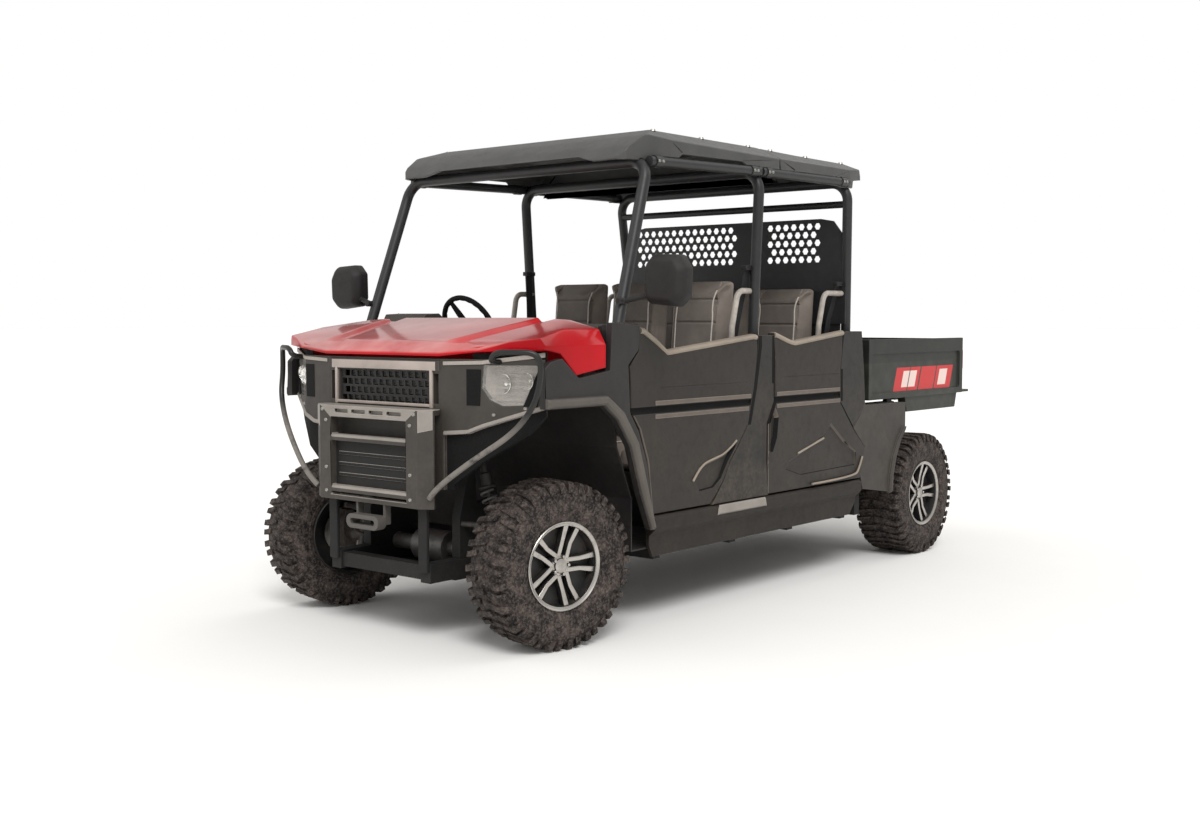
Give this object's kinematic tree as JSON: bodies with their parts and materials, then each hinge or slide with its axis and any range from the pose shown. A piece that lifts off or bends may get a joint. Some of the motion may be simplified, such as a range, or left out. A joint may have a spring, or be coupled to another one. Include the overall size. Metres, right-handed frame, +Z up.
{
  "type": "side by side utility vehicle",
  "caption": "Crew side by side utility vehicle with roll cage and roof, hinged doors, opening hood, tilting cargo bed with tailgate, and steered front wheels.",
  "frame": {"origin": "on the ground under the middle of the overall box", "axes": "+Z up, front of the vehicle towards -Y, its left side towards +X"},
  "size_m": [2.1936, 4.108, 2.17],
  "materials": {
    "frame_steel": "satin powder coat",
    "dark_plastic": "grained moulded",
    "silver_plastic": "satin",
    "red_paint": "gloss",
    "roof_plastic": "satin moulded",
    "tyre_rubber": "dusty",
    "wheel_alloy": "machined",
    "suspension_steel": "satin",
    "lamp_lens": "clear",
    "seat_vinyl": "grained",
    "bed_plastic": "textured",
    "engine_casting": "cast"
  },
  "bodies": {
    "chassis": {"chassis_rails": "frame_steel", "frame_crossmembers": "frame_steel", "skid_plate": "frame_steel", "floor_pan": "dark_plastic", "rear_bulkhead": "dark_plastic", "rockers": "dark_plastic", "cage_front_hoop": "frame_steel", "cage_middle_hoop": "frame_steel", "cage_rear_hoop": "frame_steel", "cage_side_rails": "frame_steel", "hip_bars": "frame_steel", "roof_front": "roof_plastic", "roof_rear": "roof_plastic", "body_posts": "dark_plastic", "front_fascia": "dark_plastic", "grille": "dark_plastic", "headlamps": "lamp_lens", "front_bumper": "dark_plastic", "brush_guards": "dark_plastic", "tow_loop": "silver_plastic", "front_fenders": "dark_plastic", "dashboard": "dark_plastic", "mirrors": "dark_plastic", "front_arms": "suspension_steel", "rear_arms": "suspension_steel", "suspension_towers": "frame_steel", "shock_absorbers": "suspension_steel", "half_shafts": "suspension_steel", "final_drives": "engine_casting", "engine_block": "engine_casting", "silencer": "engine_casting", "seat_bases": "dark_plastic", "seat_cushions": "seat_vinyl", "seat_backs": "seat_vinyl", "rear_screen": "frame_steel", "bed_subframe": "frame_steel", "rear_fenders": "dark_plastic", "hitch_receiver": "frame_steel"},
    "hood": {"hood": "red_paint"},
    "steering_wheel": {"steering_wheel": "dark_plastic"},
    "steering_rack": {"steering_rack": "suspension_steel"},
    "cargo_bed": {"cargo_bed": "bed_plastic"},
    "tailgate": {"tailgate": "bed_plastic"},
    "knuckle_left": {"knuckle_left": "suspension_steel"},
    "wheel_front_left": {"tyre_front_left": "tyre_rubber", "rim_front_left": "wheel_alloy"},
    "door_front_left": {"door_front_left": "dark_plastic"},
    "wheel_rear_left": {"tyre_rear_left": "tyre_rubber", "rim_rear_left": "wheel_alloy"},
    "door_rear_left": {"door_rear_left": "dark_plastic"},
    "knuckle_right": {"knuckle_right": "suspension_steel"},
    "wheel_front_right": {"tyre_front_right": "tyre_rubber", "rim_front_right": "wheel_alloy"},
    "door_front_right": {"door_front_right": "dark_plastic"},
    "wheel_rear_right": {"tyre_rear_right": "tyre_rubber", "rim_rear_right": "wheel_alloy"},
    "door_rear_right": {"door_rear_right": "dark_plastic"}
  },
  "joints": [
    {"name": "steer_left", "type": "hinge", "parent": "chassis", "child": "knuckle_left", "pos_m": [0.6, -1.63, 0.34], "axis": [0, 0, 1], "range_deg": [-21, 43]},
    {"name": "steer_right", "type": "hinge", "parent": "chassis", "child": "knuckle_right", "pos_m": [-0.6, -1.63, 0.34], "axis": [0, 0, 1], "range_deg": [-21, 43]},
    {"name": "rack_travel", "type": "slide", "parent": "chassis", "child": "steering_rack", "axis": [1, 0, 0], "range_m": [-0.086, 0.042]},
    {"name": "steering_wheel_turn", "type": "hinge", "parent": "chassis", "child": "steering_wheel", "pos_m": [-0.56, -0.87, 1.281], "axis": [0, 0.9061, 0.423], "range_deg": [-170, 346]},
    {"name": "spin_front_left", "type": "hinge", "parent": "knuckle_left", "child": "wheel_front_left", "pos_m": [0.67166, -1.64393, 0.34], "axis": [0.9816, -0.1908, 0], "continuous": true},
    {"name": "spin_rear_left", "type": "hinge", "parent": "chassis", "child": "wheel_rear_left", "pos_m": [0.6635, 1.394, 0.34], "axis": [1, 0, 0], "continuous": true},
    {"name": "hinge_front_left", "type": "hinge", "parent": "chassis", "child": "door_front_left", "pos_m": [0.8, -1.289, 0.9], "axis": [0, 0, -1], "range_deg": [0, 65]},
    {"name": "hinge_rear_left", "type": "hinge", "parent": "chassis", "child": "door_rear_left", "pos_m": [0.8, -0.236, 0.9], "axis": [0, 0, -1], "range_deg": [0, 65]},
    {"name": "spin_front_right", "type": "hinge", "parent": "knuckle_right", "child": "wheel_front_right", "pos_m": [-0.67166, -1.61607, 0.34], "axis": [0.9816, -0.1908, 0], "continuous": true},
    {"name": "spin_rear_right", "type": "hinge", "parent": "chassis", "child": "wheel_rear_right", "pos_m": [-0.6635, 1.394, 0.34], "axis": [1, 0, 0], "continuous": true},
    {"name": "hinge_front_right", "type": "hinge", "parent": "chassis", "child": "door_front_right", "pos_m": [-0.8, -1.289, 0.9], "axis": [0, 0, 1], "range_deg": [0, 65]},
    {"name": "hinge_rear_right", "type": "hinge", "parent": "chassis", "child": "door_rear_right", "pos_m": [-0.8, -0.236, 0.9], "axis": [0, 0, 1], "range_deg": [0, 65]},
    {"name": "hood_hinge", "type": "hinge", "parent": "chassis", "child": "hood", "pos_m": [0, -1.421, 1.322], "axis": [-1, 0, 0], "range_deg": [0, 50]},
    {"name": "bed_tilt", "type": "hinge", "parent": "chassis", "child": "cargo_bed", "pos_m": [0, 1.87, 0.85], "axis": [-1, 0, 0], "range_deg": [0, 40]},
    {"name": "tailgate_hinge", "type": "hinge", "parent": "cargo_bed", "child": "tailgate", "pos_m": [0, 1.939, 0.91], "axis": [-1, 0, 0], "range_deg": [0, 90]}
  ],
  "couplings": [
    {"joint": "steer_right", "follows": "steer_left", "ratio": 1},
    {"joint": "rack_travel", "follows": "steer_left", "m_per_rad": -0.114},
    {"joint": "steering_wheel_turn", "follows": "steer_left", "ratio": 8}
  ]
}
